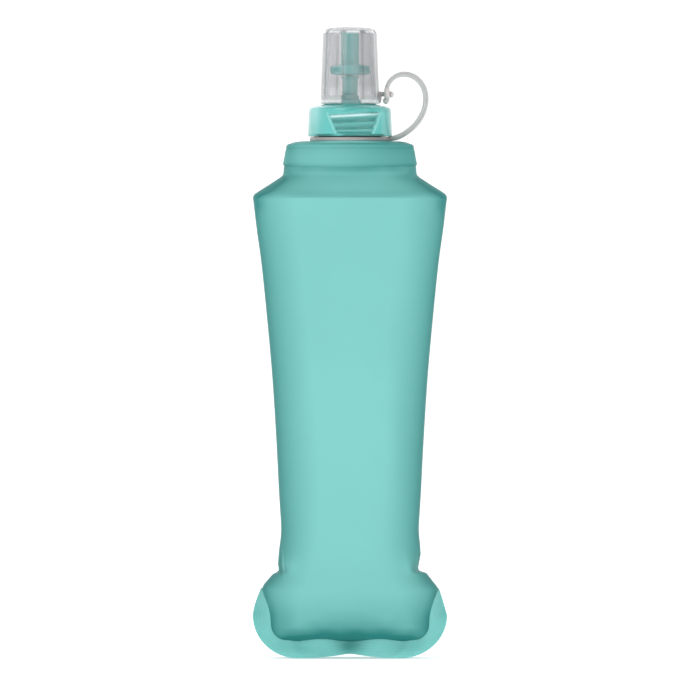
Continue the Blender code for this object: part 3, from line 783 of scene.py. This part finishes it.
def make_collar():
    """The moulded band at the neck, with a lower edge that bows down a little in the middle."""
    seat, seat_z = 16.2, 206.48

    def ring(inset, z, bow=0.0):
        a = mix(26.9, 25.3, clamp01((z - 196.6) / 9.0)) - inset
        shape = oval(a, a - 7.8, z)

        def at(angle):
            x, y, height = shape(angle)
            return x, y, height - bow * math.sin(angle) ** 2

        return at

    def crown(share, z):
        """A ring of the crown, from the band's oval edge in to the round seat of the tether's ring."""
        a, power = mix(24.05, seat, share), mix(2 / OVAL_POWER, 1.0, share)
        return lambda angle: (a * spow(math.cos(angle), power), seat * math.sin(angle), z)

    rings = [ring(1.2, 197.0, 0.7), ring(0.35, 196.8, 0.8), ring(0.0, 197.2, 0.8), ring(-0.05, 198.2, 0.5)]
    rings += [ring(0.0, 200.5), ring(0.0, 203.0), ring(0.12, 203.5), ring(0.12, 203.8), ring(0.0, 204.3)]
    for k in range(1, 8):
        t = k / 7 * QUARTER
        rings.append(ring(1.25 * (1 - math.cos(t)), 204.3 + 1.15 * math.sin(t)))
    rings += [crown(0.1, 205.8), crown(0.25, 206.15), crown(0.45, 206.38)]
    rings += [crown(0.7, 206.46), crown(1.0, seat_z)]
    rings += [*circles((13.4, seat_z), (13.4, 205.0)), ring(2.6, 204.6), ring(1.2, 203.4)]
    return lathe("collar", rings, BAND, segments=200, sharp=45.0)


def shade_collar(x, y, z):
    """Painted shade: deeper towards both ends, the lip and the top, and paler round the tether's ring."""
    right = 0.31 * smooth((x + 10.0) / 28.0)
    left = 0.22 * smooth((-19.0 - x) / 6.0)
    lip = 0.17 * smooth((198.0 - z) / 1.2)
    top = 0.12 * smooth((z - 201.0) / 3.5) + 0.10 * bump_at(z, 203.65, 0.4)
    near_ring = -0.3 * smooth((19.5 - math.hypot(x, y)) / 2.0) * smooth((z - 205.6) / 0.4)
    return 0.20 + right + left + lip + top + near_ring


PITCH = 3.18


def thread_height(angle, z, low, turns, height):
    """How far the thread stands out at this angle and height. It starts at low and fades in and out."""
    root, crest = 0.8, 0.3
    climb = low + PITCH * (angle / TURN)
    nearest = round((z - climb) / PITCH)
    best = 0.0
    for turn in (nearest - 1, nearest, nearest + 1):
        along = turn + angle / TURN
        off = abs(z - climb - turn * PITCH)
        fade = clamp01(min(along, turns - along) * 6)
        best = max(best, height * fade * smooth((root - off) / (root - crest)))
    return best


def threaded(radius, height, low, turns, bottom, top, steps):
    """Rings of a threaded wall. The thread stands outwards, or inwards if its height is negative."""

    def ring(z):
        def at(angle):
            r = radius + math.copysign(1, height) * thread_height(angle, z, low, turns, abs(height))
            return r * math.cos(angle), r * math.sin(angle), z

        return at

    return [ring(mix(bottom, top, k / steps)) for k in range(steps + 1)]


def make_spout():
    neck = 12.45
    rings = [*circles((11.05, 218.6), (10.85, 218.4), (10.85, 203.6)), oval(19.2, 13.4, 202.7)]
    rings += [oval(23.2, 15.4, 201.4), oval(23.2, 15.4, 196.9)]
    rings += [oval(24.4, 16.6, 196.9), oval(24.4, 16.6, 204.3)]
    rings += circles((12.85, 204.5), (neck, 204.9), (neck, 208.3), (13.6, 208.5), (13.85, 208.75))
    rings += circles((13.85, 209.1), (13.6, 209.4), (neck, 209.7))
    rings += threaded(neck, 1.15, 211.2, 1.6, 210.3, 217.3, 44)
    rings += circles((neck, 218.0), (12.3, 218.4), (12.05, 218.6))
    return lathe("spout", rings, SPOUT, segments=128)


collar = make_collar()
paint(collar, shade_collar)
dress(collar, "flask_upper", "film", "neck_collar")
dress(make_spout(), "flask_upper", "spout_plastic", "spout_insert")


# ---------------------------------------------------------------- cap

PHASE = math.radians(7.0)
GRIP_LOW = 209.7
GRIP_HIGH = 217.2
RIDGES = (216.9, 213.7, 210.9)


def grip_place(angle, z):
    """(mm across the nearer grip, degrees inside its border, slanted height for its ridges)."""
    half = mix(26.0, 39.0, clamp01((z - GRIP_LOW) / (GRIP_HIGH - GRIP_LOW)))
    step = TURN / 2
    off = (angle - PHASE + step / 2 + QUARTER) % step - step / 2
    across = 16.5 * math.sin(off)
    return across, half - abs(math.degrees(off)), z - 0.055 * across * smooth((z - 209.0) / 4.0)


def ridges(height):
    """How far up the slope of a ridge this height is: 1 on its crest, falling slowly below it."""
    best = 0.0
    for crest in RIDGES:
        above, below = height - crest, crest - height
        best = max(best, smooth(1 - above / 0.35) if above >= 0 else smooth(1 - below / 1.9))
    return best


def grip_inside(depth_in, z):
    return smooth(depth_in / 2.2) * smooth((z - 209.2) / 0.5)


def grip_border(depth_in, z):
    return bump_at(depth_in, -1.4, 1.3) * smooth((z - 209.0) / 1.0) * smooth((218.2 - z) / 0.8)


def grip(angle, z):
    """Inset of the side in mm, less than nothing on a grip's raised border."""
    across, depth_in, height = grip_place(angle, z)
    inside = grip_inside(depth_in, z) * smooth((217.9 - height) / 0.35)
    return inside * (0.95 - 0.6 * ridges(height)) - 0.16 * grip_border(depth_in, z)


def make_cap():
    foot, grips_end, bore = 208.4, 217.0, 14.2

    def side(z):
        """The skirt, with its grips and the small notches along its foot."""
        radius = mix(16.85, 16.4, (z - foot) / 10.8)

        def at(angle):
            r = radius - grip(angle, z)
            if z < 208.9:
                r -= 0.35 * smooth((math.sin(angle * 24) - 0.6) / 0.25) * (208.9 - z) / 0.5
            return r * math.cos(angle), r * math.sin(angle), z

        return at

    rings = [*circles((bore, 208.55), (14.5, foot), (16.55, foot)), side(208.5), side(208.8), side(209.1)]
    rings += [side(209.3 + k * (grips_end - 209.3) / 40) for k in range(41)]
    rings += [side(grips_end + k * 0.1) for k in range(1, 8)] + [side(218.3)]
    for k in range(1, 9):
        t = k / 8 * math.radians(75)
        rings.append(circle(15.15 + 1.2 * math.cos(t), 218.7 + 1.45 * math.sin(t)))
    rings += circles((14.6, 220.35), (12.9, 220.7), (12.2, 220.85), (11.6, 221.0))
    rings += circles((10.35, 221.2), (10.3, 221.5))
    rings += circles((10.15, 222.5), (9.8, 222.75), (5.6, 222.8), (4.0, 222.95), (3.65, 223.3), (3.6, 224.6))
    rings += circles((3.55, 224.85), (3.4, 225.0), (3.25, 225.0), (3.2, 224.9), (3.2, 220.9), (2.95, 220.6))
    rings += circles((2.95, 211.5), (4.3, 211.5), (4.3, 220.0), (bore, 219.8))
    rings += threaded(bore, -1.25, 212.59, 1.5, 211.7, 218.4, 40)[::-1]
    return lathe("cap", rings, CAP, segments=360, sharp=50.0)


def shade_cap(x, y, z):
    # Painted shade: deeper inside the grips, less on their ridges, along the skirt's foot, round the top and
    # towards the right.
    if math.hypot(x, y) < 9.0:
        return 0.1
    across, depth_in, height = grip_place(math.atan2(y, x), z)
    panel = grip_inside(depth_in, z) * smooth((217.6 - height) / 0.4) * mix(0.72, 0.40, ridges(height))
    foot = smooth((209.4 - z) / 0.3) * smooth((14.5 - abs(x)) / 1.5) * (1 - 0.8 * bump_at(x, -5.0, 1.9))
    top = 0.42 * smooth((z - 217.6) / 0.4) * bump_at(x, 4.0, 10.0) * smooth((221.0 - z) / 0.6)
    right = 0.20 * smooth((x - 11.0) / 4.0)
    return clamp01(max(panel, foot, top) + right)


def cap_highlights(x, y, z):
    """Painted highlights on the grips' ridges and borders and down the left side."""
    if math.hypot(x, y) < 9.0:
        return 0.0
    across, depth_in, height = grip_place(math.atan2(y, x), z)
    inside = smooth(depth_in / 2.5)
    fade = mix(1.0, 0.6, smooth((across - 2.0) / 8.0))
    top_ridge = 0.95 * fade * bump_at(height, 216.85, 0.6) * inside * smooth((217.9 - z) / 0.4)
    lower_ridges = 0.10 * max(bump_at(height, 213.9, 0.3), bump_at(height, 211.0, 0.3)) * inside
    left = 0.24 * bump_at(x, -15.0, 4.5) * mix(0.45, 1.0, smooth((z - 211.0) / 7.0))
    left *= smooth((z - 209.3) / 0.5)
    return clamp01(max(top_ridge, lower_ridges, 0.22 * grip_border(depth_in, z)) + left)


cap = make_cap()
paint(cap, shade_cap)
paint(cap, cap_highlights, "pale_and_highlight")
dress(cap, "cap", "cap_plastic", "screw_cap")

for name, material in (("valve_core", SPOUT), ("cap_seal", SEAL), ("nozzle_o_ring", SEAL)):
    carried = bpy.data.objects[name].data
    carried.materials.clear()
    carried.materials.append(material)


# ---------------------------------------------------------------- nozzle


def make_stem():
    rings = circles((1.6, 213.0), (2.3, 213.0), (2.6, 213.15), (2.7, 213.5), (2.7, 218.3), (2.2, 218.3))
    rings += circles((2.2, 219.7), (2.7, 219.7), (2.7, 225.3), (3.08, 225.7), (3.08, 231.0), (3.2, 231.4))
    rings += circles((3.5, 231.7), (3.6, 231.9), (3.6, 232.3), (3.4, 232.5), (2.2, 232.5))
    rings += circles((2.2, 243.0), (1.6, 243.0))
    return lathe("stem", rings, BITE, segments=64)


def make_bite():
    def lip(r, z):
        """A ring of the lip stop, which droops a little towards its two ends."""

        def at(angle):
            across = max(r - 4.0, 0.0) / 4.0
            droop = 0.3 * across**1.5 * math.cos(angle) ** 2
            thin = 1 - 0.12 * across * math.sin(angle) ** 2
            return r * math.cos(angle), r * thin * math.sin(angle), z - droop

        return at

    rings = [circle(2.35, 232.85), lip(3.2, 232.8), lip(5.8, 233.15), lip(7.0, 233.4), lip(7.6, 233.8)]
    rings += [lip(7.9, 234.4), lip(8.0, 235.1), lip(7.95, 235.8), lip(7.75, 236.4), lip(7.2, 236.85)]
    rings += [lip(6.2, 237.0), lip(4.6, 237.1)]
    rings += circles((4.0, 237.2), (3.7, 237.6), (3.6, 238.8), (3.55, 244.0), (3.6, 249.2), (3.5, 249.8))
    rings += [*circles((3.2, 250.2), (2.7, 250.4), (1.2, 250.45)), 250.45, 249.0]
    rings += circles((1.2, 248.95), (1.6, 248.8), (1.6, 243.5), (2.35, 243.4))
    return lathe("mouthpiece", rings, BITE, segments=96, sharp=60.0)


def bite_highlights(x, y, z):
    """Painted highlights: the lip stop is paler towards its two ends, with painted glints on its upper left
    and lower corners.
    """
    if math.hypot(x, y) < 4.2:
        return 0.0
    upper_corner = 1.0 * bump_at(z, 236.7, 0.8) * bump_at(x, -5.4, 2.4)
    lower_corner = 0.8 * bump_at(z, 233.5, 0.8) * bump_at(abs(x), 5.6, 2.2)
    return max(upper_corner, lower_corner, 0.16 * smooth((abs(x) - 3.8) / 2.0))


dress(make_stem(), "nozzle", "cap_plastic", "nozzle_stem")
bite = make_bite()
paint(bite, bite_highlights, "pale_and_highlight")
dress(bite, "nozzle", "silicone", "bite_valve")


# ---------------------------------------------------------------- clear cover


def lobe(angle):
    """1 on the middle of each of the eight facets of the cover and 0 in the groove between two."""
    return abs(math.cos(4 * (angle - PHASE)))


def make_cover():
    foot_z, top_z, foot_r, top_r = 221.8, 249.6, 11.85, 10.75

    def facets(r, z, depth=1.0, rise=0.0):
        """A ring with eight facets, which can rise a little in the middle of each."""

        def at(angle):
            shape = lobe(angle) ** 0.6
            radius = r - depth * 0.55 * (1 - shape)
            return radius * math.cos(angle), radius * math.sin(angle), z + rise * shape

        return at

    rings = [251.1, *circles((4.0, 251.1), (8.2, 250.9)), facets(9.1, 250.0, 0.4), facets(9.5, 249.0, 0.6)]
    rings += [facets(mix(9.5, 10.7, k / 8), mix(249.0, 222.0, k / 8), 0.6) for k in range(1, 9)]
    rings += [facets(10.9, 221.4, 0.6), facets(11.6, 221.4), facets(foot_r, foot_z)]
    heights = [222.2, 222.6, 223.0, 223.4, 223.9, 225.0]
    heights += [227.0 + 22.0 * k / 9 for k in range(10)] + [249.3, top_z]
    rings += [facets(mix(foot_r, top_r, (z - foot_z) / (top_z - foot_z)), z) for z in heights]
    rings += [facets(10.6, 249.95, 1.0, 0.2), facets(10.3, 250.3, 1.0, 0.4), facets(9.8, 250.6, 0.9, 0.5)]
    rings += [facets(9.0, 251.0, 0.7, 0.5), facets(7.8, 251.5, 0.5, 0.3)]
    rings += [*circles((5.6, 252.0), (3.0, 252.25)), 252.3]
    return lathe("cover", rings, CLEAR, segments=384, sharp=35.0)


def shade_cover(x, y, z):
    # Painted shade: deeper in the grooves between facets and towards both sides, more on the right, and less
    # near the foot.
    groove = smooth(1 - lobe(math.atan2(y, x)) / 0.16) * smooth((z - 221.0) / 2.0)
    sides = 0.26 * smooth((x - 1.9) / 2.6) + 0.13 * smooth((-x - 2.5) / 3.0)
    sides += 0.12 * smooth((abs(x) - 9.3) / 0.8)
    return 0.6 * groove + sides - 0.16 * smooth((229.0 - z) / 3.0)


def pale_cover(x, y, z):
    """White glints: each facet's rounded top edge, the foot beside the nozzle and a stripe up the front."""
    glint = 0.75 * bump_at(z, 250.2, 0.55) * smooth((lobe(math.atan2(y, x)) - 0.35) / 0.3)
    foot = 0.75 * bump_at(z, 222.3, 0.9) * smooth((abs(x - 0.5) - 3.2) / 1.5)
    upright = bump_at(x, -2.6, 1.3) * smooth(-y / 3.0) * smooth((z - 224.5) / 3.0) * smooth((251.5 - z) / 1.5)
    stripe = mix(0.12, 0.22, smooth((z - 237.0) / 4.0)) * upright
    return max(glint, foot, stripe) * smooth((math.hypot(x, y) - 9.8) / 0.3)


def rod(name, start, end, radius_a, radius_b, material):
    """A round rod between two points in mm, closed at its ends."""
    a, b = Vector(start), Vector(end)
    axis = (b - a).normalized()
    u = axis.orthogonal().normalized()
    v = axis.cross(u)
    points, rows, around = [], 9, 32
    stations = [(0.0, 0.0)] + [(k / (rows - 1), 1.0) for k in range(rows)] + [(1.0, 0.0)]
    for s, full in stations:
        r = mix(radius_a, radius_b, s) * full
        centre = a + (b - a) * s
        for k in range(around):
            t = TURN * k / around
            points.append(tuple(centre + u * (r * math.cos(t)) + v * (r * math.sin(t))))
    return mesh_object(name, points, grid_faces(len(stations), around, wrap=True), material, sharp=50.0)


def ball(name, centre, radii, material):
    bpy.ops.mesh.primitive_uv_sphere_add(segments=40, ring_count=24, radius=1.0)
    made = bpy.context.object
    made.name = name
    made.data.name = name
    made.data.transform(Matrix.LocRotScale([c * MM for c in centre], None, [r * MM for r in radii]))
    made.data.shade_smooth()
    made.data.materials.append(material)
    return made


def join(name, pieces):
    bpy.ops.object.select_all(action="DESELECT")
    for p in pieces:
        p.select_set(True)
    bpy.context.view_layer.objects.active = pieces[0]
    bpy.ops.object.join()
    made = bpy.context.view_layer.objects.active
    made.name = name
    return made


cover = make_cover()
paint(cover, shade_cover)
paint(cover, pale_cover, "pale_and_highlight")
dress(cover, "cover", "clear_plastic", "dust_cover")
lug = join(
    "cover_lug",
    [
        rod("lug_arm", (11.2, 0, 225.4), (16.4, 0, 225.3), 1.0, 0.9, FROST),
        ball("lug_head", (16.6, 0, 225.2), (0.95, 1.6, 1.3), FROST),
        ball("lug_root", (11.7, 0, 224.0), (0.95, 1.7, 2.4), FROST),
    ],
)
# Painted shade, deeper on the lug's arm.
paint(lug, lambda x, y, z: 0.5 * smooth((14.0 - x) / 0.5))
dress(lug, "cover", "clear_plastic")


# ---------------------------------------------------------------- tether

SPLIT = 0.16
STRAP_STEPS = 400


def strap_centre(s):
    """(x, z) of the strap's middle line, a Bezier curve from the ring (0) to the cover's lug (1)."""
    control = [(15.2, 207.4), (21.9, 207.8), (35.2, 213.8), (39.2, 235.1), (17.6, 239.9), (14.7, 227.6)]
    while len(control) > 1:
        control = [(mix(p[0], q[0], s), mix(p[1], q[1], s)) for p, q in zip(control, control[1:])]
    return control[0]


STATIONS = np.array([strap_centre(k / STRAP_STEPS) for k in range(STRAP_STEPS + 1)])


def strap_piece(name, first, last, steps):
    """A stretch of the strap, a flat band with a shallow groove along its two faces."""
    around = 28
    half_thick, half_wide = 1.1, 1.45
    points = []
    for step in range(steps + 1):
        s = mix(first, last, step / steps)
        x, z = strap_centre(s)
        ahead, behind = strap_centre(min(s + 0.005, 1)), strap_centre(max(s - 0.005, 0))
        dx, dz = ahead[0] - behind[0], ahead[1] - behind[1]
        length = math.hypot(dx, dz)
        nx, nz = -dz / length, dx / length
        thin = mix(1.0, 0.8, smooth((s - 0.75) / 0.25)) * mix(0.8, 1.0, smooth(s / 0.1))
        for k in range(around):
            t = TURN * k / around
            out = half_thick * thin * spow(math.cos(t), 0.75)
            across = half_wide * spow(math.sin(t), 0.75)
            groove = 0.28 * bump_at(out, 0.15, 0.3)
            across = math.copysign(max(abs(across) - groove, 0.0), across)
            points.append((x + nx * out, across, z + nz * out))
    return mesh_object(name, points, tube_faces(steps + 1, around), FROST, sharp=60.0)


def along_strap(x, z):
    """(share of the way along the strap, distance outwards from its middle line in mm) for a point on it."""
    gap = np.hypot(STATIONS[:, 0] - x, STATIONS[:, 1] - z)
    nearest = int(np.argmin(gap))
    before, after = STATIONS[max(nearest - 1, 0)], STATIONS[min(nearest + 1, STRAP_STEPS)]
    along = (after - before) / np.hypot(*(after - before))
    offset = STATIONS[nearest] - (x, z)
    return nearest / STRAP_STEPS, float(along[1] * -offset[0] + along[0] * offset[1])


def shade_strap(x, y, z):
    """Painted shade, deeper along the groove and the two edges, and less by the ring."""
    share, out = along_strap(x, z)
    line = 0.36 * bump_at(out, 0.25, 0.22)
    edge = 0.45 * smooth((abs(out) - 0.85) / 0.3)
    return 0.15 + line + edge - 0.15 * smooth((0.2 - share) / 0.1)


def eyelet():
    """The strap's end: a soft ring round the lug, with the little pull tab under it."""
    bpy.ops.mesh.primitive_torus_add(
        major_radius=1.9 * MM,
        minor_radius=1.1 * MM,
        major_segments=48,
        minor_segments=20,
        rotation=(0, QUARTER, 0),
    )
    made = bpy.context.object
    made.name = "eyelet_ring"
    made.location = (14.8 * MM, 0, 225.5 * MM)
    bpy.ops.object.transform_apply(location=True, rotation=True)
    made.data.shade_smooth()
    made.data.materials.append(FROST)
    tab = ball("eyelet_tab", (14.4, 0, 222.7), (1.25, 1.3, 1.35), FROST)
    return join("eyelet", [made, tab])


ring_places = ((13.15, 206.5), (15.8, 206.48), (16.0, 206.6), (16.1, 207.0), (16.1, 207.6), (15.95, 207.95))
ring = lathe("ring", circles(*ring_places, (15.6, 208.1), (13.15, 208.1)), FROST)
# Painted shade on the tether's ring, deeper towards the right.
paint(ring, lambda x, y, z: mix(0.35, 0.62, smooth((x + 8.0) / 16.0)))
dress(ring, "neck_ring", "frosted_silicone", "tether_ring")

for name, bodies, first, last, steps in (
    ("strap_low", ("neck_ring", "cap"), 0.0, SPLIT, 14),
    ("strap_high", ("cap", "cover"), SPLIT, 1.0, 60),
):
    piece = strap_piece(name, first, last, steps)
    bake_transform(piece)
    paint(piece, shade_strap)
    if name == "strap_high":
        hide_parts("tether_strap")

dress(eyelet(), "cover", "frosted_silicone")


# ---------------------------------------------------------------- stage


def stage_material():
    """Pale floor whose glow grows with distance. It can't be seen from behind."""
    made, tree, shader = nodes_of(
        "stage_look",
        Base_Color=(0.93, 0.93, 0.93, 1),
        Emission_Color=(1, 1, 1, 1),
        Roughness=0.9,
        Specular_IOR_Level=0.1,
    )
    place = tree.nodes.new("ShaderNodeTexCoord")
    level, away = tree.nodes.new("ShaderNodeVectorMath"), tree.nodes.new("ShaderNodeVectorMath")
    level.operation, away.operation = "MULTIPLY", "LENGTH"
    level.inputs[1].default_value = (1, 1, 0)
    glow = ranged(tree, 2.6, 5.0, 0.42, 0.75)
    from_behind = tree.nodes.new("ShaderNodeNewGeometry")
    clear = tree.nodes.new("ShaderNodeBsdfTransparent")
    either = tree.nodes.new("ShaderNodeMixShader")
    link(
        tree,
        (place, "Object", level, 0),
        (level, "Vector", away, 0),
        (away, "Value", glow, "Value"),
        (glow, "Result", shader, "Emission Strength"),
        (from_behind, "Backfacing", either, "Fac"),
        (shader, 0, either, 1),
        (clear, 0, either, 2),
        (either, 0, tree.nodes["Material Output"], "Surface"),
    )
    return made


def make_sweep():
    """The floor and a back wall in one sheet, in metres, with a rounded corner between them."""
    corner, wall_top, half_wide, below = 0.9, 4.0, 12.0, 0.00015
    profile = [(-12.0, 0.0), (corner, 0.0)]
    for k in range(1, 13):
        t = k / 12 * QUARTER
        profile.append((corner + corner * math.sin(t), corner - corner * math.cos(t)))
    profile.append((2 * corner, wall_top))
    points = [(x / MM, y / MM, (z - below) / MM) for y, z in profile for x in (-half_wide, half_wide)]
    sweep = mesh_object("sweep", points, grid_faces(len(profile), 2), stage_material(), sharp=None)
    if sweep.data.polygons[0].normal.z < 0:
        sweep.data.flip_normals()
    return sweep


def make_lights():
    lights = []
    for name, place, aim, size, power in (
        ("key", (-0.75, -1.25, 1.15), (0, 0, 0.12), (1.0, 1.0), 7.4),
        ("fill", (0.95, -1.2, 0.75), (0, 0, 0.12), (1.1, 1.1), 4.1),
        ("top", (0.0, -0.1, 1.5), (0, 0, 0.1), (1.2, 0.9), 1.8),
        ("back", (0.0, 0.9, 0.9), (0, 0, 0.2), (1.2, 0.6), 1.2),
    ):
        data = bpy.data.lights.new(name, "AREA")
        data.shape = "RECTANGLE"
        data.size, data.size_y = size
        data.energy = power
        lamp = bpy.data.objects.new(name, data)
        bpy.context.scene.collection.objects.link(lamp)
        lamp.location = place
        lamp.rotation_euler = (Vector(aim) - Vector(place)).to_track_quat("-Z", "Y").to_euler()
        lights.append(lamp)
    return lights


def make_world():
    """Soft light from all round, which the camera sees as white."""
    world = bpy.data.worlds.new("studio")
    world.use_nodes = True
    tree = world.node_tree
    background = tree.nodes["Background"]
    seen = tree.nodes.new("ShaderNodeLightPath")
    strength = ranged(tree, 0.0, 1.0, 0.42, 1.3)
    background.inputs["Color"].default_value = (1.0, 1.0, 1.0, 1)
    link(
        tree,
        (seen, "Is Camera Ray", strength, "Value"),
        (strength, "Result", background, "Strength"),
    )
    bpy.context.scene.world = world


def make_camera():
    distance, shown, sensor = 6.0, 0.280, 36.0
    data = bpy.data.cameras.new("front_camera")
    camera = bpy.data.objects.new("front_camera", data)
    bpy.context.scene.collection.objects.link(camera)
    camera.location = (0.0, -distance, 0.123)
    camera.rotation_euler = (QUARTER, 0, 0)
    data.sensor_width = sensor
    data.lens = sensor * distance / shown
    bpy.context.scene.camera = camera


make_sweep()
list(make_lights())
make_world()
make_camera()
bpy.context.scene.view_settings.view_transform = "Standard"
